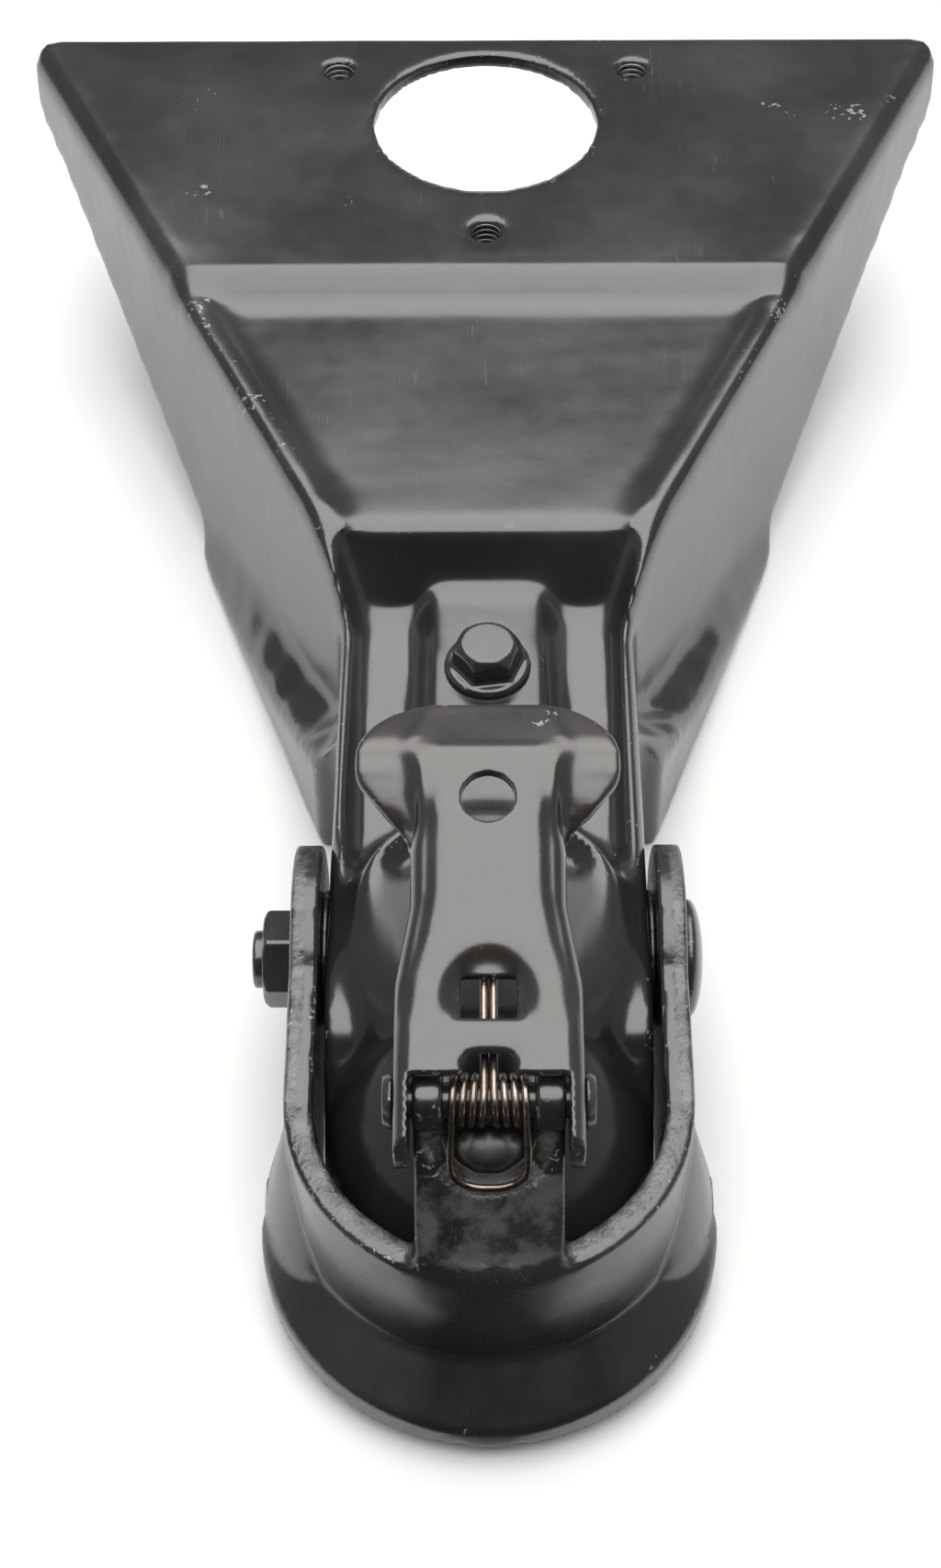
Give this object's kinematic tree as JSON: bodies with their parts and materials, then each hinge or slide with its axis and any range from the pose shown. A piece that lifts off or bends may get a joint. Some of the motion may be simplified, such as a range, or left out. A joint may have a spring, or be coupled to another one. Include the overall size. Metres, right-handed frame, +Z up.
{
  "type": "trailer coupling head",
  "caption": "A-frame ball coupling head for a trailer tongue, with a pivoting nose yoke, a spring loaded latch handle and a flat jack plate.",
  "frame": {"origin": "centre of the ball socket", "axes": "+Y from the nose back along the centre line to the jack plate, +Z up, out of the top of the ball dome, +X across to the round head of the pivot bolt"},
  "size_m": [0.2532, 0.3906, 0.1058],
  "materials": {
    "housing_paint": "semi-gloss black enamel on pressed steel, scratched",
    "yoke_paint": "semi-gloss black enamel over sheared edges",
    "handle_paint": "glossy black enamel",
    "fastener_black": "glossy black enamel",
    "rivet_steel": "black enamel, worn",
    "spring_wire": "oiled spring wire",
    "clamp_steel": "as forged",
    "inner_steel": "zinc plated"
  },
  "bodies": {
    "housing": {"coupler_body": "housing_paint", "ball_clamp": "clamp_steel", "clamp_bolt": "fastener_black", "clamp_washer": "inner_steel", "clamp_nut": "inner_steel", "pivot_sleeve": "inner_steel", "pivot_bolt": "fastener_black", "pivot_nut": "fastener_black", "pivot_washers": "inner_steel"},
    "yoke": {"yoke": "yoke_paint", "handle_rivet": "rivet_steel", "latch_spring": "spring_wire"},
    "handle": {"latch_handle": "handle_paint"}
  },
  "joints": [
    {"name": "yoke_tilt", "type": "hinge", "parent": "housing", "child": "yoke", "pos_m": [0, 0.046, 0.006], "axis": [-1, 0, 0], "range_deg": [0, 20]},
    {"name": "handle_lift", "type": "hinge", "parent": "yoke", "child": "handle", "pos_m": [0, -0.0182, 0.049], "axis": [1, 0, 0], "range_deg": [0, 70], "stiffness_Nm_per_rad": 0.15, "springref_deg": -20.05, "deforming": ["latch_spring"]}
  ]
}
